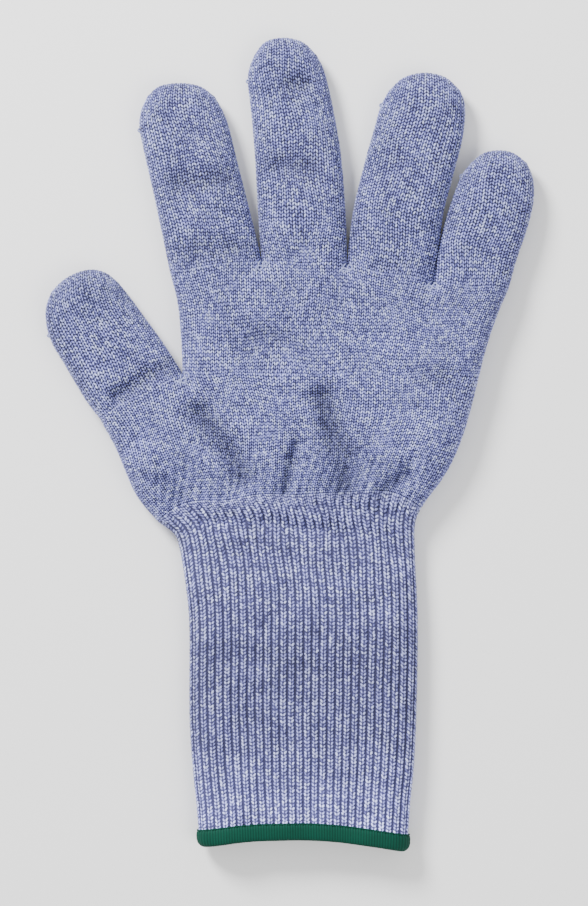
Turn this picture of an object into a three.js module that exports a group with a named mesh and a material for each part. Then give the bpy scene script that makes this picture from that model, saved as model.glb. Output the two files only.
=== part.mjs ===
// A cut resistant work glove, seamless knitted: five fingers, palm and long ribbed cuff with an overlocked hem.
// It lies flat on its back, palm side up. Millimetres, +Z up; +Y runs from the cuff to the fingertips and
// +X towards the little finger. The origin is on the resting surface, under the middle of the glove's box.
import * as THREE from "three";
import { ParametricGeometry } from "three/addons/geometries/ParametricGeometry.js";

// Driving dimensions.
const wall = 1.3; // thickness of the knitted fabric
const seatGap = 0.3; // clearance between two pieces that touch
const bendGap = 4; // open ring between two sections of a finger, where the fabric bends
const sideRound = 6; // width over which a flattened tube turns from its upper to its lower face
const tipRound = 13; // length of a fingertip's rounded end
const creaseHeight = 3.2; // height of the palm where its two faces are drawn together between the fingers
const creaseReach = 9; // distance from a crotch over which the palm rises to its full height
const middleLevel = 0.42; // share of a tube's height at which it is widest
const hemArch = 4; // rise of the hem in its middle, above the straight line between its corners
const bindingThickness = 0.9; // overlock thread cover on each face of the hem
const hemLift = seatGap + bindingThickness; // the cuff's hem is held this much off the resting surface
const threadRadius = 0.25; // needle thread and elastic thread
const elasticTurns = 7; // turns of the elastic thread laid into the cuff

// Each digit by the lines it bends about: middle of the line, the line's turn from +X in degrees, the digit's
// width along it, and the height of its upper face. The tip follows, and how far back the closing nub sits.
const digits = {
  thumb: {
    bends: [
      { at: [-51.9, 17.7], turn: 27.5, width: 30, height: 12 },
      { at: [-64.3, 37.2], turn: 33.5, width: 31, height: 11.5 },
    ],
    tip: [-77.6, 56.9],
    nubBack: 13,
  },
  index: {
    bends: [
      { at: [-25.6, 62.5], turn: 0, width: 29.5, height: 12 },
      { at: [-31.2, 85.8], turn: 14, width: 30.3, height: 11.5 },
      { at: [-35.5, 103.8], turn: 12, width: 29.6, height: 11 },
    ],
    tip: [-38.7, 124.2],
    nubBack: 14,
  },
  middle: {
    bends: [
      { at: [5.1, 63.5], turn: 0, width: 28, height: 12 },
      { at: [3.5, 92.5], turn: 4, width: 29, height: 11.5 },
      { at: [1, 114.5], turn: 7, width: 28, height: 11 },
    ],
    tip: [-2.6, 140.1],
    nubBack: 13,
  },
  ring: {
    bends: [
      { at: [34.9, 62], turn: 0, width: 28.6, height: 12 },
      { at: [39.4, 88], turn: -13.5, width: 30, height: 11.5 },
      { at: [44.6, 108], turn: -11, width: 29.6, height: 11 },
    ],
    tip: [46.9, 128],
    nubBack: 12,
  },
  little: {
    bends: [
      { at: [63.1, 56], turn: 0, width: 24.8, height: 11.5 },
      { at: [68.6, 74], turn: -14.5, width: 27, height: 11 },
      { at: [71.6, 87], turn: -9, width: 25.2, height: 10.5 },
    ],
    tip: [72.6, 101.1],
    nubBack: 9,
  },
};

// The palm in rows across it, from the wrist up. A row that isn't straight lists more points than its ends.
const wristEdge = { line: [[-44.5, -28], [43.4, -28]], height: 10 };
const lowerPalmRows = [
  wristEdge,
  { line: [[-52.2, -19], [47.8, -19]], height: 12 },
  { line: [[-58, -6.6], [55.9, -6.6]], height: 13.5 },
  { line: [[-61.8, 2], [-35, 5], [60, 6]], height: 14 },
  { line: [[-63.6, 5.4], [-36.2, 14], [62.8, 14.5]], height: 14, draw: 0.5 },
  { line: [[-65, 8.6], [-37, 23.2], [65.2, 23.2]], height: 14, draw: 1 },
];
const lowerCrotches = [-37];
const upperPalmRows = [
  { line: [[-36.6, 23.2 + seatGap], [65.3, 23.2 + seatGap]], height: 14 },
  { line: [[-37.5, 36], [68.6, 36]], height: 14 },
  { line: [[-39, 47], [72.4, 46]], height: 13.5, draw: 0.35 },
  {
    line: [[-41, 60.5], [-9.7, 60.5], [-9, 61.5], [19.7, 61], [21, 59.8], [48, 59.8], [49.3, 53.8], [75, 53.4]],
    height: 12,
    draw: 1,
  },
];
const upperCrotches = [-9.7, 19.7, 49.3];

// The cuff in rows, from the hem up to the wrist.
const bindingEnd = { line: [[-30.2, -139.4], [39.3, -140.1]], height: 12.2, lift: hemLift, arch: hemArch };
const cuffEnd = { line: [[-30.6, -137.6], [39.7, -138.6]], height: 12.2, lift: hemLift, arch: hemArch };
const bindingTop = { line: [[-31.4, -134.3], [40.6, -135.8]], height: 12.2, lift: hemLift, arch: hemArch };
const cuffRows = [
  { line: [[-33, -121], [42.1, -122]], height: 12, lift: 0.8, arch: 0.6 * hemArch },
  { line: [[-34.5, -98], [43.8, -98]], height: 11.5 },
  { line: [[-34.9, -60], [44.1, -60]], height: 11 },
  { line: [[-36.2, -48], [43.5, -48]], height: 10.5 },
  { line: [[-38.2, -36], [43.1, -36]], height: 10 },
];

// Shares of the width at which a flattened tube's section has a corner.
const digitCorners = [0, 0.03, 0.1, 0.22, 0.36, 0.5, 0.64, 0.78, 0.9, 0.97, 1];
const cuffCorners = [0, 0.01, 0.03, 0.06, 0.1, 0.2, 0.35, 0.5, 0.65, 0.8, 0.9, 0.94, 0.97, 0.99, 1];

const mix = (a, b, share) => a + (b - a) * share;

// Height of a bent line above x.
function levelOn(line, x) {
  const next = Math.max(1, line.findIndex((point, i) => i > 0 && (point[0] >= x || i === line.length - 1)));
  const [x0, y0] = line[next - 1];
  const [x1, y1] = line[next];
  return mix(y0, y1, (x - x0) / (x1 - x0));
}

// Section corners of a palm piece: close together beside each crotch and at both sides.
function palmCorners(rim, crotches) {
  const left = rim.line[0][0];
  const right = rim.line[rim.line.length - 1][0];
  const ends = [left, ...crotches, right];
  const shares = [0, 0.045, 0.14, 0.3, 0.5, 0.7, 0.86, 0.955];
  const lobe = (start, i) => shares.map((share) => mix(start, ends[i + 1], share));
  const places = ends.slice(0, -1).flatMap(lobe);
  return [...places, right].map((x) => (x - left) / (right - left));
}

// One row across the palm or the cuff, brought in by inset from its outer face.
function flatRow(row, inset, crotchShares = []) {
  const first = row.line[0];
  const last = row.line[row.line.length - 1];
  const span = last[0] - first[0];
  return {
    inset,
    bottom: row.lift ?? 0,
    width: span - 2 * inset,
    place(share) {
      const x = mix(first[0] + inset, last[0] - inset, share);
      const arch = 4 * (row.arch ?? 0) * share * (1 - share);
      return [x, levelOn(row.line, x) + arch];
    },
    top(share) {
      const away = crotchShares.map((crotch) => (Math.abs(share - crotch) * span) / creaseReach);
      const lobe = mix(creaseHeight, row.height, Math.sin((Math.min(1, ...away) * Math.PI) / 2));
      return mix(row.height, lobe, row.draw ?? 0);
    },
  };
}

// One row across a digit, at a share of the way from one bend line to the next.
function digitRow(from, to, share, inset) {
  const turn = THREE.MathUtils.degToRad(mix(from.turn, to.turn, share));
  const half = mix(from.width, to.width, share) / 2 - inset;
  const x = mix(from.at[0], to.at[0], share);
  const y = mix(from.at[1], to.at[1], share);
  return {
    inset,
    bottom: 0,
    width: 2 * half,
    place: (across) => [
      x + (2 * across - 1) * half * Math.cos(turn),
      y + (2 * across - 1) * half * Math.sin(turn),
    ],
    top: () => mix(from.height, to.height, share),
  };
}

// One row across a rounded fingertip: round is 0 where the rounding starts and 1 at the very tip.
function tipRow(digit, round, inset) {
  const base = digit.bends[digit.bends.length - 1];
  const forward = new THREE.Vector2(digit.tip[0] - base.at[0], digit.tip[1] - base.at[1]);
  const length = forward.length();
  const heading = forward.clone().divideScalar(length);
  const distance = length - tipRound + (tipRound - inset) * Math.sin((round * Math.PI) / 2);
  const narrowing = Math.cos((round * Math.PI) / 2);
  const half = (base.width / 2 - inset) * narrowing;
  const middle = middleLevel * base.height;
  return {
    inset: inset * narrowing,
    bottom: middle * (1 - narrowing),
    width: 2 * half,
    place: (across) => [
      base.at[0] + heading.x * distance + (2 * across - 1) * half * heading.y,
      base.at[1] + heading.y * distance - (2 * across - 1) * half * heading.x,
    ],
    top: () => mix(middle, base.height, narrowing),
  };
}

// A point of a row's section: across is 0 at its left side and 1 at its right.
function sectionPoint(row, across, upper) {
  const [x, y] = row.place(across);
  const top = row.top(across);
  const middle = mix(row.bottom, top, middleLevel);
  const fromSide = Math.min(across, 1 - across) * row.width;
  const turned = Math.min(1, fromSide / Math.max(1e-6, Math.min(sideRound, row.width / 2)));
  const face = upper ? top - row.inset : row.bottom + row.inset;
  return new THREE.Vector3(x, y, mix(middle, face, Math.sqrt(1 - (1 - turned) ** 2)));
}

// A closed skin through a loop of rows, each joined to the next corner by corner.
function skinOf(rows, corners) {
  const around = 2 * (corners.length - 1);
  const loop = [...rows, rows[0]];
  const place = (u, v, target) => {
    const step = Math.round(u * around) % around;
    const upper = step < corners.length;
    const row = loop[Math.round(v * rows.length)];
    target.copy(sectionPoint(row, corners[upper ? step : around - step], upper));
  };
  return new ParametricGeometry(place, around, rows.length);
}

// A knitted tube: the outer face out along the rows, then the inner face back.
function tubeOf(makeRows, corners) {
  return skinOf([...makeRows(0), ...makeRows(wall).reverse()], corners);
}

const glove = new THREE.Group();
const knitBlue = new THREE.Color(0.42, 0.47, 0.7);
const hemGreen = new THREE.Color(0, 0.39, 0.29);
const paleYarn = new THREE.Color(0.8, 0.83, 0.92);

function add(name, geometry, color, roughness) {
  const material = new THREE.MeshStandardMaterial({ color, roughness, metalness: 0 });
  const mesh = new THREE.Mesh(geometry, material);
  mesh.name = name;
  glove.add(mesh);
  return mesh;
}

// The palm: a lower piece that also holds the root of the thumb, and an upper one under the four fingers.
function palmPiece(rows, crotches) {
  const rim = rows[rows.length - 1];
  const left = rim.line[0][0];
  const span = rim.line[rim.line.length - 1][0] - left;
  const crotchShares = crotches.map((x) => (x - left) / span);
  const makeRows = (inset) => rows.map((row) => flatRow(row, inset, crotchShares));
  return tubeOf(makeRows, palmCorners(rim, crotches));
}
add("five_finger_body", palmPiece(lowerPalmRows, lowerCrotches), knitBlue, 0.9);
add("four_finger_body", palmPiece(upperPalmRows, upperCrotches), knitBlue, 0.9);

// The digits: open sections between two bends, and a closed tip section.
function openSection(from, to) {
  const length = Math.hypot(to.at[0] - from.at[0], to.at[1] - from.at[1]);
  const cut = bendGap / 2 / length;
  const shares = [cut, 0.5, 1 - cut];
  return tubeOf((inset) => shares.map((share) => digitRow(from, to, share, inset)), digitCorners);
}

function tipSection(digit) {
  const last = digit.bends[digit.bends.length - 1];
  const length = Math.hypot(digit.tip[0] - last.at[0], digit.tip[1] - last.at[1]);
  const turn = -THREE.MathUtils.radToDeg(Math.atan2(digit.tip[0] - last.at[0], digit.tip[1] - last.at[1]));
  const end = { ...last, at: digit.tip, turn };
  const makeRows = (inset) => [
    digitRow(last, end, bendGap / 2 / length, inset),
    ...[0, 0.25, 0.5, 0.75, 1].map((round) => tipRow(digit, round, inset)),
  ];
  return tubeOf(makeRows, digitCorners);
}

for (const [name, digit] of Object.entries(digits)) {
  const sectionNames = digit.bends.length === 3 ? ["proximal", "middle"] : ["proximal"];
  sectionNames.forEach((section, i) => {
    add(`${name}_${section}`, openSection(digit.bends[i], digit.bends[i + 1]), knitBlue, 0.9);
  });
  add(`${name}_distal`, tipSection(digit), knitBlue, 0.9);
}

// The small nub of closing yarn on the thumb side of each fingertip.
const nubRadius = 0.6;
for (const [name, digit] of Object.entries(digits)) {
  const last = digit.bends[digit.bends.length - 1];
  const heading = new THREE.Vector2(digit.tip[0] - last.at[0], digit.tip[1] - last.at[1]).normalize();
  const side = last.width / 2 + seatGap + nubRadius;
  const nub = add(`${name}_closing_nub`, new THREE.SphereGeometry(nubRadius, 8, 6), paleYarn, 0.95);
  nub.position.set(
    digit.tip[0] - heading.x * digit.nubBack - heading.y * side,
    digit.tip[1] - heading.y * digit.nubBack + heading.x * side,
    middleLevel * last.height,
  );
}

// The strand of yarn that draws the two faces together in each crotch, standing just beyond the palm's rim.
const strandRadius = 0.6;
const strandPlaces = {
  thumb_index: [-38.1, 25.4],
  index_middle: [-9.6, 62.9],
  middle_ring: [19.7, 62.4],
  ring_little: [49.9, 56.1],
};
for (const [name, [x, y]] of Object.entries(strandPlaces)) {
  const strand = add(
    `crotch_strand_${name}`,
    new THREE.CapsuleGeometry(strandRadius, creaseHeight - 2 * strandRadius, 3, 8),
    paleYarn,
    0.95,
  );
  strand.rotation.x = Math.PI / 2;
  strand.position.set(x, y, creaseHeight / 2 + seatGap);
}

// The ribbed cuff, with one elastic thread wound round inside it.
const cuffInRows = [cuffEnd, bindingTop, ...cuffRows];
add("cuff", tubeOf((inset) => cuffInRows.map((row) => flatRow(row, inset)), cuffCorners), knitBlue, 0.9);

class ElasticRun extends THREE.Curve {
  getPoint(share, target = new THREE.Vector3()) {
    const start = cuffRows[1];
    const end = cuffRows[2];
    const blended = {
      line: start.line.map((from, i) => from.map((value, axis) => mix(value, end.line[i][axis], share))),
      height: mix(start.height, end.height, share),
    };
    const round = (share * elasticTurns) % 1;
    const across = (1 - Math.cos(2 * Math.PI * round)) / 2;
    const inset = wall + 2 * seatGap + threadRadius;
    return target.copy(sectionPoint(flatRow(blended, inset), across, round < 0.5));
  }
}
const threadSection = new THREE.Shape().absarc(0, 0, threadRadius, 0, 2 * Math.PI);
add(
  "cuff_elastic_thread",
  new THREE.ExtrudeGeometry(threadSection, {
    curveSegments: 5,
    steps: elasticTurns * 24,
    extrudePath: new ElasticRun(),
    bevelEnabled: false,
  }),
  paleYarn,
  0.7,
);

// The overlocked hem: looper threads folded over the cuff's edge, and the needle thread above them.
const bindingOut = -hemLift;
const bindingIn = wall + hemLift;
const pocketEnd = { ...cuffEnd, line: cuffEnd.line.map(([x, y]) => [x, y - seatGap]) };
const bindingProfile = [
  [bindingEnd, bindingOut],
  [bindingTop, bindingOut],
  [bindingTop, -seatGap],
  [pocketEnd, -seatGap],
  [pocketEnd, wall + seatGap],
  [bindingTop, wall + seatGap],
  [bindingTop, bindingIn],
  [bindingEnd, bindingIn],
];
const bandOf = (profile) => skinOf(profile.map(([row, inset]) => flatRow(row, inset)), cuffCorners);
add("hem_binding", bandOf(bindingProfile), hemGreen, 0.75);

const needleRise = 0.9;
const needleRow = (rise) => ({ ...bindingTop, line: bindingTop.line.map(([x, y]) => [x, y + rise]) });
const needleProfile = [
  [needleRow(needleRise), -seatGap],
  [needleRow(needleRise), -seatGap - 2 * threadRadius],
  [needleRow(needleRise + 2 * threadRadius), -seatGap - 2 * threadRadius],
  [needleRow(needleRise + 2 * threadRadius), -seatGap],
];
add("hem_needle_thread", bandOf(needleProfile), hemGreen, 0.75);

export default glove;
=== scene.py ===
# A cut resistant knitted glove, palm up: marled blue knit in sections, ribbed cuff, green overlocked hem.
import math
from functools import partial

import bmesh
import bpy
import numpy as np
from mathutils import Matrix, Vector


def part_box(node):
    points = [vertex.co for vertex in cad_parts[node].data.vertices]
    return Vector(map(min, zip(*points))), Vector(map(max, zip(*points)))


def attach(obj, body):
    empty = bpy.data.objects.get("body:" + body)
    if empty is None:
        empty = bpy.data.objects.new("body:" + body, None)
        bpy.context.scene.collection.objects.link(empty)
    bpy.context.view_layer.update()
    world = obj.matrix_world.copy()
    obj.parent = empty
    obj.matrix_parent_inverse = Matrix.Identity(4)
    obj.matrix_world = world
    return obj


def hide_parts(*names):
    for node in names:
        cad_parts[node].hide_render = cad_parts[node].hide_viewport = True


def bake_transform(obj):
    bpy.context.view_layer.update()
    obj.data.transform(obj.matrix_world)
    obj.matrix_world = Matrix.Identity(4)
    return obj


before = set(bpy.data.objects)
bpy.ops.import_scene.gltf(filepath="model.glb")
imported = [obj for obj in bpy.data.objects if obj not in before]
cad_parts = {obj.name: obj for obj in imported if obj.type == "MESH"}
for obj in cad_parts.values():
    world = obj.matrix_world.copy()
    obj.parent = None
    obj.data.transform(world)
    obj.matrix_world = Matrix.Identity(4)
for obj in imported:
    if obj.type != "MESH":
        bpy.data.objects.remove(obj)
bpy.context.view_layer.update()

# The studio: a pale table in white surroundings, a soft key light from beyond the fingertips on the
# thumb's side, a wider and weaker one from the other side, and a long lens straight over the palm.
view_centre = Vector((0.0014, -0.0035, 0.008))
view_height = 0.3126
lens_mm = 110.0
sensor_mm = 36.0
table_top = -0.0004  # just under the lowest stitches


def pale_table():
    material = bpy.data.materials.new("table_white")
    material.use_nodes = True
    shader = material.node_tree.nodes["Principled BSDF"]
    shader.inputs["Base Color"].default_value = (0.86, 0.86, 0.86, 1)
    shader.inputs["Roughness"].default_value = 0.9
    bm = bmesh.new()
    bmesh.ops.create_grid(bm, x_segments=1, y_segments=1, size=2.5)
    mesh = bpy.data.meshes.new("table")
    bm.to_mesh(mesh)
    bm.free()
    table = bpy.data.objects.new("table", mesh)
    table.location.z = table_top
    mesh.materials.append(material)
    bpy.context.scene.collection.objects.link(table)


def soft_light(name, place, aim, width, power):
    data = bpy.data.lights.new(name, "AREA")
    data.shape = "DISK"
    data.size = width
    data.energy = power
    light = bpy.data.objects.new(name, data)
    light.location = place
    light.rotation_euler = (Vector(aim) - Vector(place)).to_track_quat("-Z", "Y").to_euler()
    bpy.context.scene.collection.objects.link(light)


pale_table()
soft_light("key_light", place=(-0.62, 0.8, 0.72), aim=(0, 0, 0), width=0.4, power=34)
soft_light("fill_light", place=(0.7, -0.5, 1.1), aim=(0, 0, 0), width=0.9, power=8.5)
world = bpy.data.worlds.new("studio")
world.use_nodes = True
world.node_tree.nodes["Background"].inputs["Color"].default_value = (1, 1, 1, 1)
world.node_tree.nodes["Background"].inputs["Strength"].default_value = 1.02
bpy.context.scene.world = world

camera_data = bpy.data.cameras.new("camera")
camera_data.lens = lens_mm
camera_data.sensor_fit = "VERTICAL"
camera_data.sensor_height = sensor_mm
camera_data.clip_end = 20
camera = bpy.data.objects.new("camera", camera_data)
camera.location = view_centre + Vector((0, 0, view_height * lens_mm / sensor_mm))
bpy.context.scene.collection.objects.link(camera)
bpy.context.scene.camera = camera

# The palm is knitted plain as two tubes that narrow to the wrist: one under the four fingers, and one
# below the thumb that holds all five. The glove's flat outline and its loft are set out here, in
# millimetres, because every other knitted piece is laid out on them.
outline = {
    "cuff_left": [
        (-31.4, -136.8), (-32.2, -126), (-33.5, -114), (-34.7, -96), (-34.8, -64), (-35.4, -55),
        (-38, -37.5), (-39.6, -32.2), (-45.5, -27.2),
    ],
    "heel_left": [(-45.5, -27.2), (-52.4, -19), (-56.4, -10.7), (-59.8, -2.4), (-65.6, 8.5)],
    "thumb_left": [
        (-65.6, 8.5), (-70, 14.2), (-77.4, 26.5), (-82.3, 34.9), (-84.1, 41), (-84.2, 47), (-82.4, 52),
    ],
    "thumb_tip": [(-82.4, 52), (-78.6, 56), (-73, 59), (-68, 59.8), (-63.6, 58.6), (-59.6, 55.4)],
    "thumb_right": [(-36.9, 23.5), (-44.2, 34.8), (-50.2, 43.1), (-56.2, 51.2), (-59.6, 55.4)],
    "palm_left": [(-36.9, 23.5), (-37.4, 34.8), (-38.8, 49), (-41.4, 59.3)],
    "index_left": [
        (-41.4, 59.3), (-44, 72), (-47.6, 88.7), (-50.8, 103), (-52, 109.6), (-51.3, 115),
        (-49.2, 119.8),
    ],
    "index_tip": [(-49.2, 119.8), (-45.4, 123.2), (-38, 124.4), (-31, 123.2), (-26.2, 119.8)],
    "index_right": [
        (-9.7, 62.4), (-14.1, 80.4), (-18.3, 96.9), (-21.4, 109.4), (-23.4, 114.8), (-26.2, 119.8),
    ],
    "middle_left": [
        (-9.7, 62.4), (-10.9, 80.4), (-12.1, 101.1), (-13.3, 115), (-14.4, 125.4), (-13.8, 130),
        (-12, 134.4),
    ],
    "middle_tip": [(-12, 134.4), (-8.6, 138.6), (-2.6, 140.1), (4.4, 138.6), (9, 134.2)],
    "middle_right": [
        (19.7, 61.4), (19, 80.4), (17.3, 101.1), (15.2, 113.5), (13, 124), (11.2, 130), (9, 134.2),
    ],
    "ring_left": [(19.7, 61.4), (22.1, 80.4), (26, 96.9), (29.5, 109.4), (31.6, 116.5), (34.4, 121.8)],
    "ring_tip": [(34.4, 121.8), (39.2, 126.2), (46.6, 128), (53.8, 126.4), (58.7, 122)],
    "ring_right": [
        (49.3, 55.2), (51.2, 67), (53.1, 80.4), (56.4, 93), (59.4, 104.5), (60.5, 113.5),
        (60.2, 118), (58.7, 122),
    ],
    "little_left": [(49.3, 55.2), (51.5, 67), (54.3, 78), (57.2, 86.5), (59.8, 92.8), (62.9, 96.8)],
    "little_tip": [(62.9, 96.8), (66.8, 100), (71.8, 101.1), (77, 100.3), (81.8, 96.8)],
    "little_right": [(75.4, 53.2), (78.4, 63.8), (82.2, 75), (84.2, 84.5), (83.9, 91.6), (81.8, 96.8)],
    "palm_right": [(65.3, 23.5), (68.3, 34.8), (72, 45.4), (75.4, 53.2)],
    "heel_right": [
        (45.2, -22.6), (47.6, -19), (51.8, -13.5), (55.9, -6.6), (59.7, 2.6), (62.2, 11),
        (65.3, 23.5),
    ],
    "cuff_right": [
        (40.7, -138.4), (41.6, -124), (42.7, -114), (43.7, -95), (44.2, -60), (43.2, -38),
        (43.4, -27.5), (45.2, -22.6),
    ],
}
loft_by_y = [
    (-140, 11.6), (-122, 11.2), (-60, 10.6), (-38, 10), (-10, 12.6), (20, 13.6), (45, 13), (62, 12),
    (141, 10.4),
]
hem_lift = [(-128, 1.5), (-110, 0)]
widest_share = 0.42  # of the loft: how high a side's widest line lies
upper_turn = 10.0  # how far in the upper face and the lower face level out
lower_turn = 7.0
turn_power = 2.2  # 2 would give the sides an oval section
ripple_height = 0.3
knit_thickness = 1.25
pleat, pleat_pitch, pleats_from = 1.1, 3.02, -45.5
pleat_by_y = [(-34, 0), (-27, 1), (-16, 0.7), (6, 0)]
pleats_spread = 0.004  # per millimetre above the wrist
wrist_y = -24
upper_from = 5  # the height above which the cloth is the upper face
# Painted shade: the knit's colour is darkened in the hollows of the upper face and on the thumb's palm
# side.
hollow_shade, thumb_shade = 0.2, 0.16  # how much darker in a hollow, and on the thumb's palm side
# How much paler (or darker, below 0) the knit looks along the glove.
tone_by_y = [
    (-134, 0.6), (-122, 0.44), (-102, -0.08), (-72, -0.24), (-58, 0.0), (-46, 0.05), (-36, -0.02),
    (-22, 0), (0, 0.06), (25, 0.03), (60, -0.13), (141, -0.16),
]


def smooth_line(points, step=0.8):
    """A curve through the points (centripetal Catmull-Rom), resampled evenly along its length."""
    p = np.array(points, float)
    p = np.vstack([2 * p[0] - p[1], p, 2 * p[-1] - p[-2]])
    runs = []
    for i in range(1, len(p) - 2):
        knots = np.cumsum([0] + [np.linalg.norm(p[i + k] - p[i + k - 1]) ** 0.5 for k in range(3)])
        t = np.linspace(knots[1], knots[2], 24, endpoint=False)[:, None]
        first = [
            (knots[k + 1] - t) / (knots[k + 1] - knots[k]) * p[i - 1 + k]
            + (t - knots[k]) / (knots[k + 1] - knots[k]) * p[i + k]
            for k in range(3)
        ]
        second = [
            (knots[k + 2] - t) / (knots[k + 2] - knots[k]) * first[k]
            + (t - knots[k]) / (knots[k + 2] - knots[k]) * first[k + 1]
            for k in range(2)
        ]
        share = (t - knots[1]) / (knots[2] - knots[1])
        runs.append((1 - share) * second[0] + share * second[1])
    line = np.vstack(runs + [p[-2:-1]])
    along = np.r_[0, np.cumsum(np.linalg.norm(np.diff(line, axis=0), axis=1))]
    even = np.linspace(0, along[-1], max(3, int(along[-1] / step) + 1))
    return np.c_[np.interp(even, along, line[:, 0]), np.interp(even, along, line[:, 1])]


def on_line(line, share):
    """Points at shares of a sampled line's length, carried straight on past its ends."""
    along = np.r_[0, np.cumsum(np.linalg.norm(np.diff(line, axis=0), axis=1))]
    at = share * along[-1]
    on = np.stack([np.interp(at, along, line[:, 0]), np.interp(at, along, line[:, 1])], axis=-1)
    before = np.minimum(at, 0)[..., None] * (line[1] - line[0]) / along[1]
    after = np.maximum(at - along[-1], 0)[..., None] * (line[-1] - line[-2]) / (along[-1] - along[-2])
    return on + before + after


sides = {name: smooth_line(points) for name, points in outline.items()}
edge_starts = np.vstack([line[:-1] for line in sides.values()])
edge_ends = np.vstack([line[1:] for line in sides.values()])

# Hollows pressed into the upper face: (line of points, width, depth).
hollows = [
    ([(-59, 16), (-43, 26.5)], 3.4, 2.3),
    ([(-31, 10.5), (-25, 3), (-19.5, -4.5), (-16.5, -11)], 4.4, 3.1),
    ([(1.6, -1), (0.2, -8.5), (-2, -16.5)], 2.3, 2.5),
    ([(11, 15), (13.8, 5.5), (18.6, -4), (18.3, -15)], 4.8, 3.2),
    ([(40, -10.5), (36, -13.5), (31.5, -17.5)], 3.0, 2.2),
    ([(-45, -13), (-38, -19)], 3.2, 1.6),
    ([(-39, 90), (-31, 89), (-23, 91)], 4.0, 1.9),
    ([(-38, 66), (-20, 66)], 4.5, 1.5),
    ([(1, 123), (5, 124)], 4.0, 1.7),
    ([(-6, 96), (8, 95)], 4.0, 1.4),
    ([(-12, 36), (2, 35)], 5, 1.5),
    ([(48, 23), (56, 20)], 5.0, 1.5),
]


def distance_inside(plan):
    """Distance of each plan point from the glove's outline."""
    low, high = plan.min(0) - 14, plan.max(0) + 14
    near = np.all((edge_starts > low) & (edge_starts < high), axis=1)
    starts, runs = edge_starts[near], (edge_ends - edge_starts)[near]
    squares = np.maximum((runs**2).sum(1), 1e-9)
    best = np.full(len(plan), 1e9)
    for start, run, square in zip(starts, runs, squares):
        t = np.clip(((plan - start) @ run) / square, 0, 1)
        gap = plan - start - t[:, None] * run
        np.minimum(best, (gap**2).sum(1), out=best)
    return np.sqrt(best)


# The stitches wander in slow waves: (size, turn per millimetre across, turn along, start).
waves_aside = [(0.4, 0.11, 0.23, 1.3), (0.3, 0.31, -0.17, 0)]
waves_forward = [(0.4, 0.19, -0.13, 0.4), (0.3, 0.27, 0.21, 2.1)]
free_from_edge = 8.0
freedom_by_y = [(-55, 0.12), (-25, 1)]


def wander(plan, inside):
    """The plan with its stitches pulled a little out of line, less so at the edges and in the cuff."""
    x, y = plan[:, 0], plan[:, 1]
    free = np.minimum(1, inside / free_from_edge) * np.interp(y, *np.array(freedom_by_y).T)
    pulls = [
        sum(size * np.sin(across * x + along * y + start) for size, across, along, start in waves)
        for waves in (waves_aside, waves_forward)
    ]
    return plan + np.stack(pulls, axis=-1) * free[:, None]


def hollow_depth(plan):
    """How deep the upper face is pressed in at each plan point."""
    pressed = np.zeros(len(plan))
    for line, width, depth in hollows:
        nearest = np.full(len(plan), 1e9)
        for start, end in zip(np.array(line[:-1], float), np.array(line[1:], float)):
            run = end - start
            t = np.clip(((plan - start) @ run) / (run @ run), 0, 1)
            nearest = np.minimum(nearest, ((plan - start - t[:, None] * run) ** 2).sum(1))
        pressed += depth * np.exp(-nearest / width**2)
    return pressed


def pleat_depth(plan):
    """Small pleats that run up into the palm from the valleys of the rib, where the cloth is drawn in."""
    x, y = plan[:, 0], plan[:, 1]
    pitch = pleat_pitch / (1 - pleats_spread * (y - wrist_y))
    fading = np.interp(y, *np.array(pleat_by_y).T)
    return pleat * fading * (0.5 + 0.5 * np.cos(2 * np.pi * (x - pleats_from) / pitch))


def heights(plan, inside):
    """Heights of the upper and the lower face over plan points that lie so far inside the outline."""
    x, y = plan[:, 0], plan[:, 1]
    loft = np.interp(y, *np.array(loft_by_y).T)
    widest = widest_share * loft
    rise = 1 - np.minimum(1, inside / upper_turn)
    fall = 1 - np.minimum(1, inside / lower_turn)
    upper = widest + (loft - widest) * np.sqrt(1 - rise**turn_power)
    ripple = ripple_height * np.sin(0.24 * x + 0.2 * y) * np.sin(0.33 * y - 0.15 * x)
    upper -= (hollow_depth(plan) + pleat_depth(plan) + ripple) * np.minimum(1, inside / upper_turn)
    lift = np.interp(y, *np.array(hem_lift).T)
    lower = lift + (widest - lift) * (1 - np.sqrt(1 - fall**turn_power))
    return upper, lower


# One plain stitch takes four columns of the mesh and three rows. Its two legs rise to a point at the
# fingertip side, because the glove is knitted from its tips down.
plain_stitch = {"columns": 4, "point": 1, "slant": 0.75, "legs": [0.15, 1.0, 0.8, 1.0], "relief": 0.32}
rows_per_course = 3
uneven_relief = (0.8, 1.2)
start_of_course = 0.19  # the share of a course by which a seam lies past its ridge
rib_from = 0.2  # the depth of valley, as a share, from which the rib's own stitches show
edge_round = 4.0  # the radius at which the cloth turns down at a side
round_after = 14.0  # how far above a crotch a side turns down with the full radius
lip = 0.45  # how many courses a section's end reaches under its neighbour, and how deep
lip_depth = 0.3
inner_rows = 9
rng = np.random.default_rng(13)


def flat_from_edge(way, radius):
    """Flat distance from an edge, after that way along cloth that turns down there with this radius."""
    return np.where(way < radius, way**2 / (2 * np.maximum(radius, 1e-6)), way - radius / 2)


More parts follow.
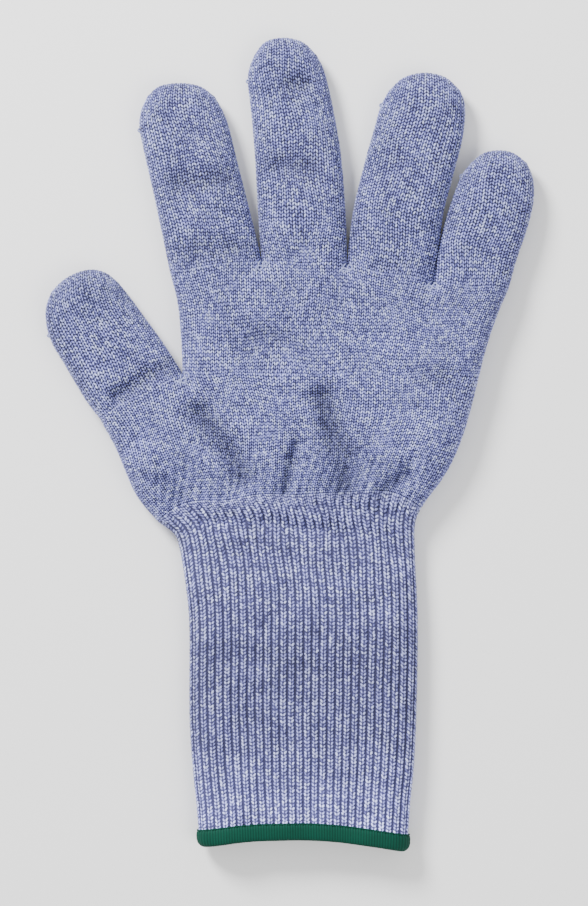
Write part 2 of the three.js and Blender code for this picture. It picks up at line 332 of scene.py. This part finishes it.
def tube_face(
    plan_of, wales, courses, stitch, course, closed_tip, meets=(False, False), crotch=(False, False)
):
    """Points and outward normals of a flattened tube along the given courses, once round its columns. The
    slant of the legs runs on through an end that meets another tube. The left or right side that starts at
    a crotch lies flat there, as the palm does, and turns down over the table from a little further on."""
    half = wales * stitch["columns"]
    column = np.arange(2 * half + 1)
    u = np.where(column <= half, column / half, 2 - column / half)
    phase = (column % stitch["columns"]) / stitch["columns"]
    slope = 0.5 - np.abs(2 * phase - 1)
    slanted = np.ones(len(course))
    if not meets[0]:
        slanted = slanted * np.clip(course, 0, 1)
    if not meets[1]:
        slanted = slanted * np.clip(courses - course, 0, 1)
    rise = stitch["point"] * stitch["slant"] * slope[None, :] * slanted[:, None]
    v = (course[:, None] + rise) / courses
    level = np.clip(course / courses, 0, 1)
    width = np.linalg.norm(plan_of(0 * level + 1, level) - plan_of(0 * level, level), axis=1)
    ends = plan_of(np.array([0.5, 0.5]), np.array([0.0, 1.0]))
    length = np.linalg.norm(ends[1] - ends[0])
    width = width[:, None]
    away = np.clip(level * length / round_after, 0, 1)[:, None] ** 2
    left_round, right_round = (edge_round * (away if flat else 1 + 0 * away) for flat in crotch)
    way = width + (left_round + right_round) / 2
    from_left = flat_from_edge(u * way, left_round)
    from_right = flat_from_edge((1 - u) * way, right_round)
    u = np.where(u < 0.5, from_left, width - from_right) / width
    if closed_tip:
        v = 1 - flat_from_edge((1 - v) * (length + edge_round / 2), edge_round) / length
    plan = plan_of(u.ravel(), v.ravel())
    inside = distance_inside(plan).reshape(v.shape)
    inside[:, [0, half, -1]] = 0
    inside[inside < 0.002] = 0
    if closed_tip:
        inside[v >= 1] = 0
    upper, lower = heights(plan, inside.ravel())
    plan = wander(plan, inside.ravel())
    on_top = np.broadcast_to(column <= half, v.shape).ravel()
    points = np.c_[plan, np.where(on_top, upper, lower)].reshape(*v.shape, 3)
    across = np.roll(points[:, :-1], -1, axis=1) - np.roll(points[:, :-1], 1, axis=1)
    across = np.concatenate([across, across[:, :1]], axis=1)
    along = np.gradient(points, axis=0) * np.sign(course[-1] - course[0])
    normal = np.cross(across, along)
    length = np.linalg.norm(normal, axis=2, keepdims=True)
    for row in range(1, len(course)):
        flat = length[row, :, 0] < 1e-6
        normal[row, flat] = normal[row - 1, flat]
    for row in range(len(course) - 2, -1, -1):
        flat = np.linalg.norm(normal[row], axis=1) < 1e-6
        normal[row, flat] = normal[row + 1, flat]
    normal /= np.maximum(np.linalg.norm(normal, axis=2, keepdims=True), 1e-9)
    return points, normal * np.sign(normal[len(course) // 2, half // 2, 2])


def knit_piece(
    name,
    plan_of,
    wales,
    courses,
    stitch,
    span=(0, 1),
    closed_tip=False,
    meets=(False, False),
    crotch=(False, False),
):
    """A flattened knitted tube between two shares of its length, with every stitch in real relief. One grid
    makes it: the outer face from its top row down, then the inner face back up, closed at both ends."""
    first, last = (int(round(share * courses)) for share in span)
    tip = closed_tip and last == courses
    rows = np.arange(rows_per_course * last, rows_per_course * first - 1, -1)
    outer_course = rows / rows_per_course
    inner_course = np.linspace(first - lip, last if tip else last + lip, inner_rows)
    ends = (closed_tip, meets, crotch)
    outer, outer_normal = tube_face(plan_of, wales, courses, stitch, outer_course, *ends)
    inner, inner_normal = tube_face(plan_of, wales, courses, stitch, inner_course, *ends)

    per_wale = stitch["columns"]
    column = np.arange(outer.shape[1])
    ridge = 0.5 + 0.5 * np.cos(2 * np.pi * (outer_course + start_of_course))
    uneven = rng.uniform(*uneven_relief, (courses + 1, 2 * wales + 1))
    uneven[:, -1] = uneven[:, 0]
    uneven[[first, last]] = 1
    ridge = ridge[:, None] * uneven[np.round(outer_course).astype(int)][:, column // per_wale]
    if tip:
        ridge[0] = 0
    legs = np.array(stitch["legs"])[column % per_wale]
    valley = sunk = np.zeros(outer.shape[:2])
    if "valleys" in stitch:
        late = rng.uniform(0, stitch["latest"], 2 * wales + 1)
        late[-1] = late[0]
        begun = courses - outer_course[:, None] - late[(column + per_wale // 2) // per_wale % (2 * wales)]
        valley = np.interp(begun, *stitch["valley_begins"])
        legs = np.where(valley > rib_from, legs, np.array(stitch["gathered_legs"])[column % per_wale])
        sunk = -valley * np.array(stitch["valleys"])[column % per_wale] / stitch["relief"]
    # The knit's tone, with painted shade in the hollows and on the thumb, goes to the lift attribute.
    lift = tone(outer)
    outer = outer + outer_normal * (stitch["relief"] * (ridge * legs + sunk))[:, :, None]
    from_join = inner_course - inner_course[0]
    if not tip:
        from_join = np.minimum(from_join, inner_course[-1] - inner_course)
    wall = np.where(from_join > 0, knit_thickness, lip_depth)
    inner = inner - inner_normal * wall[:, None, None]
    if tip:
        inner[-1] = (inner[-1] + inner[-1][::-1]) / 2

    points = np.concatenate([outer, inner] + ([] if tip else [outer[:1]]))
    course = np.r_[outer_course, inner_course, [] if tip else [last]]
    beneath = np.round(rows_per_course * (last - inner_course)).astype(int)
    beneath = np.clip(beneath, 0, len(rows) - 1)
    values = {
        key: np.concatenate([value, value[beneath]] + ([] if tip else [value[:1]]))
        for key, value in {"rib": valley, "lift": lift}.items()
    }
    wale = column / per_wale
    uv = np.stack(np.broadcast_arrays(wale[None, :], course[:, None] + start_of_course), axis=-1)
    return grid_object(name, points * 0.001, uv, values)


def tone(points):
    """How much paler or darker the knit looks from its place: along the glove, and darker with painted
    shade in the hollows of the upper face and on the thumb's palm side.
    """
    plan = points.reshape(-1, 3)[:, :2]
    level = np.interp(plan[:, 1], *np.array(tone_by_y).T)
    above = points.reshape(-1, 3)[:, 2] > upper_from
    on_thumb = np.interp(plan[:, 0], [-58, -42], [1, 0]) * np.interp(plan[:, 1], [8, 24], [0, 1])
    # Painted shade: darker in the hollows of the upper face and on the thumb's palm side.
    painted_shade = hollow_shade * np.minimum(hollow_depth(plan), 3) * above
    painted_shade += thumb_shade * on_thumb * (plan[:, 1] < 61)
    return (level - painted_shade).reshape(points.shape[:2])


def grid_object(name, points, uv, values):
    """An object on a grid whose rows and columns are given as points, with its coinciding edges joined."""
    bm = bmesh.new()
    bmesh.ops.create_grid(bm, x_segments=points.shape[1] - 1, y_segments=points.shape[0] - 1, size=1)
    mesh = bpy.data.meshes.new(name)
    bm.to_mesh(mesh)
    mesh.vertices.foreach_set("co", points.astype(np.float32).ravel())
    corners = np.empty(len(mesh.loops), np.int32)
    mesh.loops.foreach_get("vertex_index", corners)
    layer = mesh.uv_layers.new(name="stitches")
    layer.data.foreach_set("uv", uv.reshape(-1, 2)[corners].astype(np.float32).ravel())
    for key, value in values.items():
        attribute = mesh.attributes.new(key, "FLOAT", "POINT")
        attribute.data.foreach_set("value", value.astype(np.float32).ravel())
    bm.clear()
    bm.from_mesh(mesh)
    bmesh.ops.remove_doubles(bm, verts=bm.verts, dist=0.00001)
    if bm.calc_volume(signed=True) < 0:
        bmesh.ops.reverse_faces(bm, faces=bm.faces)
    for face in bm.faces:
        face.smooth = True
    bm.to_mesh(mesh)
    bm.free()
    piece = bpy.data.objects.new(name, mesh)
    bpy.context.scene.collection.objects.link(piece)
    return piece


def between(left, right, bottom, top):
    """Plan points between two side lines and two end lines (a Coons patch)."""

    def plan_of(u, v):
        a, b = on_line(left, v), on_line(right, v)
        c, d = bottom(u), top(u)
        u, v = u[:, None], v[:, None]
        corners = (
            (1 - u) * (1 - v) * bottom(np.array([0.0]))
            + u * (1 - v) * bottom(np.array([1.0]))
            + (1 - u) * v * top(np.array([0.0]))
            + u * v * top(np.array([1.0]))
        )
        return (1 - u) * a + u * b + (1 - v) * c + v * d - corners

    return plan_of


def straight(points, shares=None):
    """A line through points at given shares of the width."""
    p = np.array(points, float)
    s = np.linspace(0, 1, len(p)) if shares is None else np.array(shares)
    return lambda u: np.stack([np.interp(u, s, p[:, 0]), np.interp(u, s, p[:, 1])], axis=-1)


digit_wales = {"thumb": 22, "index": 21, "middle": 20, "ring": 20, "little": 18}
course_mm = 1.1
thumb_crotch, index_crotch = (-36.9, 23.5), (-9.7, 62.4)
middle_crotch, ring_crotch = (19.7, 61.4), (49.3, 55.2)
index_root, little_root, little_side = (-41.4, 59.3), (75.4, 53.2), (65.3, 23.5)
thumb_root = (-65.6, 8.5)
finger_wales = [digit_wales[digit] for digit in ("index", "middle", "ring", "little")]
four = sum(finger_wales)  # wales on each face under the four fingers
five = 84  # and below the thumb
four_shares = np.cumsum([0] + finger_wales) / four
thumb_share = 0.235  # of the width, at the top of the lower palm
wrist_arch = 7
wrist_left, wrist_right = sides["heel_left"][0], sides["heel_right"][0]


def wrist_line(u):
    """The line where palm and cuff meet: it leaves both sides steeply and runs flat between them."""
    shoulder = wrist_arch * (1 - np.abs(2 * u - 1) ** 6)
    return straight([wrist_left, wrist_right])(u) + np.stack([0 * u, shoulder], axis=-1)


lower_palm = between(
    sides["heel_left"],
    sides["heel_right"],
    wrist_line,
    straight([thumb_root, thumb_crotch, little_side], [0, thumb_share, 1]),
)
upper_palm = between(
    sides["palm_left"],
    sides["palm_right"],
    straight([thumb_crotch, little_side]),
    straight([index_root, index_crotch, middle_crotch, ring_crotch, little_root], four_shares),
)


def shader_node(material, kind, inputs=(), **settings):
    """A node of the material with its settings and inputs: a value, or a (node, output) pair to link."""
    node = material.node_tree.nodes.new(kind)
    for key, value in settings.items():
        setattr(node, key, value)
    for key, value in dict(inputs).items():
        if isinstance(value, tuple) and hasattr(value[0], "outputs"):
            material.node_tree.links.new(value[0].outputs[value[1]], node.inputs[key])
        else:
            node.inputs[key].default_value = value
    return node


def sum_node(material, operation, *terms):
    """The result of one sum on values or outputs of the material, as an output to link."""
    return (shader_node(material, "ShaderNodeMath", dict(enumerate(terms)), operation=operation), "Value")


def marled_yarn(name, pale, middle, blue, shadow, ragged, ribbed=False):
    """Pale and blue strands spun together. Each leg of a stitch takes its own mix, in runs along a course,
    with a painted highlight on its crown, and the yarn falls into painted shadow between the legs, between
    the courses, and in the valleys of a rib."""
    material = bpy.data.materials.new(name)
    material.use_nodes = True
    shader = material.node_tree.nodes["Principled BSDF"]
    make = partial(shader_node, material)
    sum_of = partial(sum_node, material)

    stitches = make("ShaderNodeUVMap", uv_map="stitches")
    apart = make("ShaderNodeSeparateXYZ", {"Vector": (stitches, "UV")})
    wale, course = (apart, "X"), (apart, "Y")
    rib = (make("ShaderNodeAttribute", attribute_name="rib"), "Fac")
    if ribbed:
        wale = sum_of("MULTIPLY", wale, sum_of("SUBTRACT", 2.0, sum_of("GREATER_THAN", rib, rib_from)))
    leg = sum_of("FLOOR", sum_of("MULTIPLY", wale, 2.0))
    nearest = sum_of("FLOOR", sum_of("ADD", course, 0.5))
    cell = make("ShaderNodeCombineXYZ", {"X": leg, "Y": nearest})
    own = make("ShaderNodeTexWhiteNoise", {"Vector": (cell, "Vector")}, noise_dimensions="2D")
    along_run, apart_runs = sum_of("MULTIPLY", wale, 0.45), sum_of("MULTIPLY", nearest, 7.31)
    run_at = make("ShaderNodeCombineXYZ", {"X": along_run, "Y": apart_runs})
    run = make("ShaderNodeTexNoise", {"Vector": (run_at, "Vector"), "Scale": 1.0}, noise_dimensions="2D")
    mixed = make(
        "ShaderNodeMix",
        {"Factor": 0.15, "A": (own, "Value"), "B": (run, "Fac")},
        data_type="FLOAT",
    )
    tint = make("ShaderNodeValToRGB", {"Fac": (mixed, "Result")})
    ramp = tint.color_ramp.elements
    ramp[0].position, ramp[0].color = 0.12, (*blue, 1)
    ramp[1].position, ramp[1].color = 0.93, (*pale, 1)
    ramp.new(0.55).color = (*middle, 1)

    half_leg = sum_of("SUBTRACT", 0.25, sum_of("MULTIPLY", rib, 0.05))
    from_centre = sum_of("ABSOLUTE", sum_of("SUBTRACT", sum_of("FRACT", wale), 0.5))
    off_leg = sum_of("DIVIDE", sum_of("SUBTRACT", from_centre, half_leg), half_leg)
    off_course = sum_of("MULTIPLY", sum_of("SUBTRACT", course, nearest), 1.92)
    side_fall = sum_of("POWER", sum_of("ABSOLUTE", off_leg), 2.2)
    end_fall = sum_of("MULTIPLY", off_course, off_course)
    fall = sum_of("ADD", side_fall, end_fall)
    place = make("ShaderNodeTexCoord")
    twist = make("ShaderNodeTexNoise", {"Vector": (place, "Object"), "Scale": 900.0, "Detail": 2.0})
    untidy = sum_of("MULTIPLY", sum_of("SUBTRACT", (twist, "Fac"), 0.5), ragged)
    swell = sum_of("ADD", sum_of("SUBTRACT", 1.0, fall), untidy)
    lit = make(
        "ShaderNodeMapRange",
        {"Value": swell, "From Min": 0.08, "From Max": 0.95},
        interpolation_type="SMOOTHSTEP",
    )

    fibre = make(
        "ShaderNodeTexNoise",
        {"Vector": (place, "Object"), "Scale": 2100.0, "Detail": 3.0, "Roughness": 0.6},
    )
    fleck = make(
        "ShaderNodeMapRange",
        {"Value": (fibre, "Fac"), "From Min": 0.3, "From Max": 0.7, "To Min": 0.72, "To Max": 1.26},
    )
    # The lift attribute pales or darkens the yarn along the glove and darkens it with painted shade in the
    # hollows.
    lift = (make("ShaderNodeAttribute", attribute_name="lift"), "Fac")
    worn = make("ShaderNodeTexNoise", {"Vector": (place, "Object"), "Scale": 110.0, "Detail": 3.0})
    patch = make(
        "ShaderNodeMapRange",
        {"Value": (worn, "Fac"), "From Min": 0.3, "From Max": 0.7, "To Min": 0.84, "To Max": 1.16},
    )
    bright = sum_of("MULTIPLY", (fleck, "Result"), sum_of("ADD", lift, 1.0))
    bright = sum_of("MULTIPLY", bright, (patch, "Result"))
    # A painted highlight: the crown of each leg is mixed towards the pale strand's colour.
    painted_highlight = make(
        "ShaderNodeMapRange",
        {"Value": swell, "From Min": 0.5, "From Max": 1.0, "To Max": 0.36},
        interpolation_type="SMOOTHSTEP",
    )
    highlighted_tint = make(
        "ShaderNodeMix",
        {"Factor": (painted_highlight, "Result"), "A": (tint, "Color"), "B": (*pale, 1)},
        data_type="RGBA",
    )
    yarn = make(
        "ShaderNodeMix",
        {"Factor": (lit, "Result"), "A": (*shadow, 1), "B": (highlighted_tint, "Result")},
        data_type="RGBA",
    )
    flecked = make("ShaderNodeVectorMath", {0: (yarn, "Result"), "Scale": bright}, operation="SCALE")
    strand_rise = sum_of("MULTIPLY", (lit, "Result"), 0.8)
    fibre_rise = sum_of("MULTIPLY", (fibre, "Fac"), 0.5)
    strand = sum_of("ADD", strand_rise, fibre_rise)
    fuzz = make("ShaderNodeBump", {"Strength": 0.6, "Distance": 0.0002, "Height": strand})
    links = material.node_tree.links
    links.new(flecked.outputs["Vector"], shader.inputs["Base Color"])
    links.new(fuzz.outputs["Normal"], shader.inputs["Normal"])
    shader.inputs["Roughness"].default_value = 0.86
    shader.inputs["Specular IOR Level"].default_value = 0.3
    shader.inputs["Sheen Weight"].default_value = 0.1
    shader.inputs["Sheen Roughness"].default_value = 0.5
    return material


plain_knit = marled_yarn(
    "plain_knit",
    pale=(0.54, 0.6, 1.0),
    middle=(0.225, 0.238, 0.72),
    blue=(0.071, 0.074, 0.31),
    shadow=(0.0105, 0.0105, 0.034),
    ragged=1.3,
)
heel_courses = 42
finger_courses = 33
lower = (lower_palm, five, heel_courses, plain_stitch)
heel = knit_piece("palm_heel", *lower, span=(0, 0.5), meets=(False, True))
thumb_band = knit_piece("thumb_band", *lower, span=(0.5, 1), meets=(False, True))
finger_band = knit_piece("finger_band", upper_palm, four, finger_courses, plain_stitch, meets=(True, True))
for piece in (heel, thumb_band, finger_band):
    piece.data.materials.append(plain_knit)
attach(thumb_band, "palm")
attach(finger_band, "palm")
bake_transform(heel)
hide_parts("five_finger_body")
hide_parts("four_finger_body")

# The digits are knitted first, each as its own tube from a closed tip down to the palm. Each tube is
# shown in lengths that meet between the wearer's knuckles, and each length bends with the knit across
# its own knuckle.

# Each bend: its place in plan, the digit's turn there in degrees, and the reach of the bent knit.
digit_bends = {
    "thumb": [((-51.9, 17.7), 27.5, (-1.5, 12)), ((-64.3, 37.2), 33.5, (-8, 8))],
    "index": [
        ((-25.6, 62.5), 0, (0.2, 12.2)), ((-31.2, 85.8), 14, (-8, 8)), ((-35.5, 103.8), 12, (-8, 8)),
    ],
    "middle": [((5.1, 63.5), 0, (-0.9, 11.1)), ((3.5, 92.5), 4, (-8, 8)), ((1, 114.5), 7, (-8, 8))],
    "ring": [((34.9, 62), 0, (-0.4, 12)), ((39.4, 88), -13.5, (-8, 8)), ((44.6, 108), -11, (-8, 8))],
    "little": [
        ((63.1, 56), 0, (-0.6, 9.4)), ((68.6, 74), -14.5, (-5.5, 5.5)), ((71.6, 87), -9, (-5.5, 5.5)),
    ],
}
digit_roots = {
    "thumb": (thumb_root, thumb_crotch),
    "index": (index_root, index_crotch),
    "middle": (index_crotch, middle_crotch),
    "ring": (middle_crotch, ring_crotch),
    "little": (ring_crotch, little_root),
}
clear_of_bend = 1.4  # how far before a bend the length that carries it begins


def pointing(turn):
    """The way in plan that something points when it is turned left by so many degrees."""
    return np.array([-math.sin(math.radians(turn)), math.cos(math.radians(turn))])


def digit_courses(digit):
    """How many courses a digit has, from the length of its two sides."""
    left, right = sides[f"{digit}_left"], sides[f"{digit}_right"]
    length = sum(np.linalg.norm(np.diff(side, axis=0), axis=1).sum() for side in (left, right)) / 2
    return int(round((length + edge_round / 2) / course_mm))


for digit, bends in digit_bends.items():
    plan_of = between(
        sides[f"{digit}_left"],
        sides[f"{digit}_right"],
        straight(digit_roots[digit]),
        lambda u, tip=sides[f"{digit}_tip"]: on_line(tip, u),
    )
    courses = digit_courses(digit)
    names = ["proximal", "distal"] if digit == "thumb" else ["proximal", "middle", "distal"]
    middle_line = plan_of(np.full(courses + 1, 0.5), np.arange(courses + 1) / courses)
    headings = [pointing(turn) for _, turn, _ in bends]
    joins = [0]
    for (place, _, reach), heading in zip(bends[1:], headings[1:]):
        past = (middle_line - place) @ heading - (reach[0] - clear_of_bend)
        joins.append(int(np.argmin(np.abs(past))))
    joins.append(courses)
    for name, (place, _, reach), heading, first, last in zip(names, bends, headings, joins, joins[1:]):
        body = f"{digit}_{name}"
        piece = knit_piece(
            f"{body}_knit",
            plan_of,
            digit_wales[digit],
            courses,
            plain_stitch,
            span=(first / courses, last / courses),
            closed_tip=True,
            meets=(True, False),
            crotch=(digit not in ("thumb", "index"), digit != "little"),
        )
        piece.data.materials.append(plain_knit)
        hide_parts(body)
        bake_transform(piece)

# The cuff is knitted last, in rib: 30 ridges of plain stitches on each face, with the yarn drawn back
# between them. The valleys fade out where the rib meets the palm, and only the part above wrist_share
# of its length bends with the wrist.
cuff_ribs = 30
cuff_courses = 98
wrist_share = 0.7
rib_stitch = {
    "columns": 6,
    "point": -1,
    "slant": 0.8,
    "legs": [0.0, 0.8, 1.0, 0.75, 1.0, 0.8],
    "gathered_legs": [0.2, 1.0, 1.0, 0.2, 1.0, 1.0],
    "relief": 0.26,
    "valleys": [0.7, 0.25, 0.0, 0.08, 0.0, 0.25],
    "valley_begins": ([0, 4, 22, 50], [0, 0.5, 0.8, 1]),
    "latest": 2.5,
}
hem_left, hem_right, hem_arch = (-31.4, -136.8), (40.7, -138.4), 3.7


def hem_line(u):
    """The cuff's raw edge, which lies in a shallow arch."""
    straight_line = straight([hem_left, hem_right])(u)
    return straight_line + np.stack([0 * u, hem_arch * (1 - (2 * u - 1) ** 2)], axis=-1)


cuff_plan = between(sides["cuff_left"], sides["cuff_right"], hem_line, wrist_line)
cuff = knit_piece("cuff_knit", cuff_plan, cuff_ribs, cuff_courses, rib_stitch, span=(0, wrist_share))
wrist = knit_piece("wrist_knit", cuff_plan, cuff_ribs, cuff_courses, rib_stitch, span=(wrist_share, 1))
rib_knit = marled_yarn(
    "rib_knit",
    pale=(0.56, 0.61, 1.0),
    middle=(0.238, 0.25, 0.66),
    blue=(0.116, 0.12, 0.38),
    shadow=(0.034, 0.034, 0.092),
    ragged=2.2,
    ribbed=True,
)
for piece in (cuff, wrist):
    piece.data.materials.append(rib_knit)
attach(cuff, "cuff")
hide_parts("cuff")
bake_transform(wrist)

# The hem is overlocked: green polyester looper threads lie side by side over the raw edge and wrap both
# faces of the cuff, and a needle thread holds them down along their top.
wraps = 84
wrap_columns = 4
binding_half_height = 2.85
binding_half_thickness = 1.5
binding_square = 0.62  # 1 is an oval section, 0 a rectangle
binding_inset = 0.55  # of the knit's thickness: the section is centred inside the cloth
side_tuck = 1.1  # how far the binding draws in below the cuff's two side edges
wrap_rise = 0.16
needle_radius = 0.26
needle_proud = 0.25
needle_gap = 0.05
rib_ripple = 0.22  # how far the needle line follows the ribs in and out
wrap_stitch = {"columns": wrap_columns, "point": 0, "slant": 0}
edge, edge_normal = tube_face(cuff_plan, wraps, cuff_courses, wrap_stitch, np.array([0.0, 1.0]), False)
downward = edge[0] - edge[1]
downward /= np.linalg.norm(downward, axis=1, keepdims=True)
outward = edge_normal[0]


def swept(name, path, out, down, profile, repeats, material):
    """A closed band: each point of the profile, given as (out, down) for every place, is carried along."""
    steps = profile.shape[0]
    points = path[None] + profile[:, :, :1] * out[None] + profile[:, :, 1:] * down[None]
    across = np.arange(points.shape[1]) * repeats / (points.shape[1] - 1)
    uv = np.stack(np.broadcast_arrays(across[None, :], np.linspace(0, 1, steps)[:, None]), axis=-1)
    piece = grid_object(name, points * 0.001, uv, {})
    piece.data.materials.append(material)
    return piece


def power(value, exponent):
    """The value's size raised to the exponent, with its sign kept."""
    return np.sign(value) * np.abs(value) ** exponent


def green_thread(name, deep, bright):
    """Green polyester thread, with painted shade between neighbouring threads and on the side towards the
    cloth.
    """
    material = bpy.data.materials.new(name)
    material.use_nodes = True
    shader = material.node_tree.nodes["Principled BSDF"]
    make = partial(shader_node, material)
    sum_of = partial(sum_node, material)

    laid = make("ShaderNodeUVMap", uv_map="stitches")
    apart = make("ShaderNodeSeparateXYZ", {"Vector": (laid, "UV")})
    threads = sum_of("FRACT", (apart, "X"))
    off_thread = sum_of("ABSOLUTE", sum_of("SUBTRACT", threads, 0.5))
    place = make("ShaderNodeTexCoord")
    fibre = make("ShaderNodeTexNoise", {"Vector": (place, "Object"), "Scale": 2400.0, "Detail": 2.0})
    patch = make("ShaderNodeTexNoise", {"Vector": (place, "Object"), "Scale": 160.0, "Detail": 2.0})
    # Painted shade between neighbouring threads and towards the cloth, with patches and fibres of the
    # thread's own lighter and darker tone.
    shade = sum_of("ADD", sum_of("MULTIPLY", off_thread, -1.1), sum_of("MULTIPLY", (patch, "Fac"), 0.3))
    shade = sum_of("ADD", shade, sum_of("MULTIPLY", (fibre, "Fac"), 0.4))
    off_edge = sum_of("ABSOLUTE", sum_of("SUBTRACT", (apart, "Y"), 0.5))
    shade = sum_of("ADD", shade, sum_of("MULTIPLY", sum_of("MINIMUM", off_edge, 0.38), 3.0))
    tint = make("ShaderNodeValToRGB", {"Fac": sum_of("MULTIPLY", shade, 0.6)})
    ramp = tint.color_ramp.elements
    ramp[0].position, ramp[0].color = 0.36, (*deep, 1)
    ramp[1].position, ramp[1].color = 0.86, (*bright, 1)
    bump = make("ShaderNodeBump", {"Strength": 0.5, "Distance": 0.0001, "Height": (fibre, "Fac")})
    links = material.node_tree.links
    links.new(tint.outputs["Color"], shader.inputs["Base Color"])
    links.new(bump.outputs["Normal"], shader.inputs["Normal"])
    shader.inputs["Roughness"].default_value = 0.72
    shader.inputs["Specular IOR Level"].default_value = 0.12
    return material


hem_thread = green_thread("hem_thread", deep=(0.0, 0.012, 0.008), bright=(0.0, 0.051, 0.031))
around = np.linspace(0, 2 * np.pi, 25)[:, None]
column = np.arange(edge.shape[1])[None, :]
wrap_swell = wrap_rise * np.array([0.0, 0.75, 1.0, 0.75])[column % wrap_columns]
to_side = np.abs(outward[None, :, 0]) ** 2
out = power(np.cos(around), binding_square) * (binding_half_thickness + wrap_swell)
down = -power(np.sin(around), binding_square) * (binding_half_height + wrap_swell)
tucked = side_tuck * to_side * np.clip(down / binding_half_height, 0, 1) ** 2
out = out - binding_inset * knit_thickness - tucked
section = np.stack([out, down], axis=-1)
binding = swept("hem_binding_wraps", edge[0], outward, downward, section, 2 * wraps, hem_thread)
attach(binding, "cuff")
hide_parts("hem_binding")

around = np.linspace(0, 2 * np.pi, 9)[:, None]
under = rib_ripple * np.cos(2 * np.pi * column * cuff_ribs / (wraps * wrap_columns))
out = needle_radius * np.cos(around) + needle_proud + under
down = -needle_radius * np.sin(around) - binding_half_height - needle_gap + 0 * under
section = np.stack([out, down], axis=-1)
needle = swept("hem_needle_stitches", edge[0], outward, downward, section, 6 * wraps, hem_thread)
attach(needle, "cuff")
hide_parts("hem_needle_thread")

# Loose ends of the pale knitting yarn: one is knotted through each crotch to close the gap between two
# digits, and one is wound through the last stitches of each digit's tip to close it.
yarn_radius = 0.26
ply_turn = 2.2  # how fast the two plies turn round each other along the yarn


def pale_yarn_finish():
    """Soft pale blue yarn, lighter along some of its fibres."""
    material = bpy.data.materials.new("pale_yarn")
    material.use_nodes = True
    shader = material.node_tree.nodes["Principled BSDF"]
    place = shader_node(material, "ShaderNodeTexCoord")
    fibre = shader_node(
        material, "ShaderNodeTexNoise", {"Vector": (place, "Object"), "Scale": 2600.0, "Detail": 3.0}
    )
    tint = shader_node(material, "ShaderNodeValToRGB", {"Fac": (fibre, "Fac")})
    ramp = tint.color_ramp.elements
    ramp[0].position, ramp[0].color = 0.3, (0.1, 0.11, 0.25, 1)
    ramp[1].position, ramp[1].color = 0.7, (0.36, 0.4, 0.68, 1)
    bump = shader_node(
        material, "ShaderNodeBump", {"Strength": 0.7, "Distance": 0.0001, "Height": (fibre, "Fac")}
    )
    material.node_tree.links.new(tint.outputs["Color"], shader.inputs["Base Color"])
    material.node_tree.links.new(bump.outputs["Normal"], shader.inputs["Normal"])
    shader.inputs["Roughness"].default_value = 0.9
    shader.inputs["Sheen Weight"].default_value = 0.15
    return material


pale_yarn = pale_yarn_finish()


def yarn_end(name, route, radius, body, node, material):
    """A short length of two-ply yarn along a smooth route of points in millimetres, closed at both ends."""
    route = np.array(route, float)
    share = np.linspace(0, 1, len(route))
    fine = np.linspace(0, 1, 12 * len(route))
    path = np.stack([np.interp(fine, share, route[:, axis]) for axis in range(3)], axis=-1)
    for _ in range(10):
        path[1:-1] = (path[:-2] + 2 * path[1:-1] + path[2:]) / 4
    along = np.gradient(path, axis=0)
    along /= np.linalg.norm(along, axis=1, keepdims=True)
    side = np.cross(along, (0.31, 0.17, 0.93))
    side /= np.linalg.norm(side, axis=1, keepdims=True)
    other = np.cross(along, side)
    length = np.r_[0, np.cumsum(np.linalg.norm(np.diff(path, axis=0), axis=1))]
    turn = np.linspace(0, 2 * np.pi, 9)[:, None]
    ply = 1 + 0.2 * np.cos(2 * turn - ply_turn * length[None, :] / radius)
    taper = np.sqrt(np.clip(np.minimum(length, length[-1] - length) / radius, 0, 1))
    size = radius * ply * taper[None, :]
    profile = np.stack([size * np.cos(turn), size * np.sin(turn)], axis=-1)
    piece = swept(name, path, side, other, profile, 1, material)
    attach(piece, body)
    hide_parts(node)


# Each crotch: its place in plan, and the turn in degrees of the gap between its two digits.
crotches = {
    "thumb_index": (thumb_crotch, 30),
    "index_middle": (index_crotch, 5),
    "middle_ring": (middle_crotch, -5),
    "ring_little": (ring_crotch, -18),
}
# The knot's route: how far into the gap, how far to the right, and how high over the cloth. It starts down
# between the two digits, at knot_start above the table.
knot_start = 1.5
knot = [
    (0.9, 0.0, None), (0.5, -0.5, 0.5), (-0.6, -1.2, 0.3), (-2.1, -1.7, 0.15), (-3.1, -0.8, 0.15),
    (-2.2, 0.3, 0.25), (-0.7, 0.3, 0.5), (0.3, 0.9, 0.5), (-0.5, 1.9, 0.2), (-1.9, 1.6, 0.3),
    (-1.7, 0.2, 0.7), (-1.2, -1.0, 0.7), (-2.2, -2.2, 0.2), (-3.4, -2.6, 0.1),
]
for name, (crotch, turn) in crotches.items():
    heading = pointing(turn)
    aside = np.array([heading[1], -heading[0]])
    plan = np.array([crotch + forward * heading + sideways * aside for forward, sideways, _ in knot])
    upper, _ = heights(plan, distance_inside(plan))
    route = [
        (*at, knot_start if rise is None else level + rise)
        for at, level, (_, _, rise) in zip(plan, upper, knot)
    ]
    yarn_end(f"crotch_yarn_{name}", route, yarn_radius, "palm", f"crotch_strand_{name}", pale_yarn)

# The closing yarn is wound nearly twice round, upright, and rises a little with each turn.
closing_turns = 1.8
for digit in digit_bends:
    low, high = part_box(f"{digit}_closing_nub")
    centre = 500 * (np.array(low) + np.array(high))
    side_line = sides[f"{digit}_left"]
    at = side_line[np.argmin(np.linalg.norm(side_line - centre[:2], axis=1))]
    turned = np.linspace(0, 2 * np.pi * closing_turns, 14)
    route = np.stack(
        [at[0] + 0.7 * np.cos(turned), at[1] + 0.6 * np.sin(turned), centre[2] - 0.5 + 0.11 * turned],
        axis=-1,
    )
    yarn_end(f"{digit}_tip_yarn", route, yarn_radius, f"{digit}_distal", f"{digit}_closing_nub", pale_yarn)

# The elastic thread is rubber covered in pale yarn, laid into the cuff's inner face so that the cuff
# grips. It is the CAD's own solid, with the pale yarn's finish.
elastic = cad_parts["cuff_elastic_thread"]
elastic.material_slots[0].material = pale_yarn
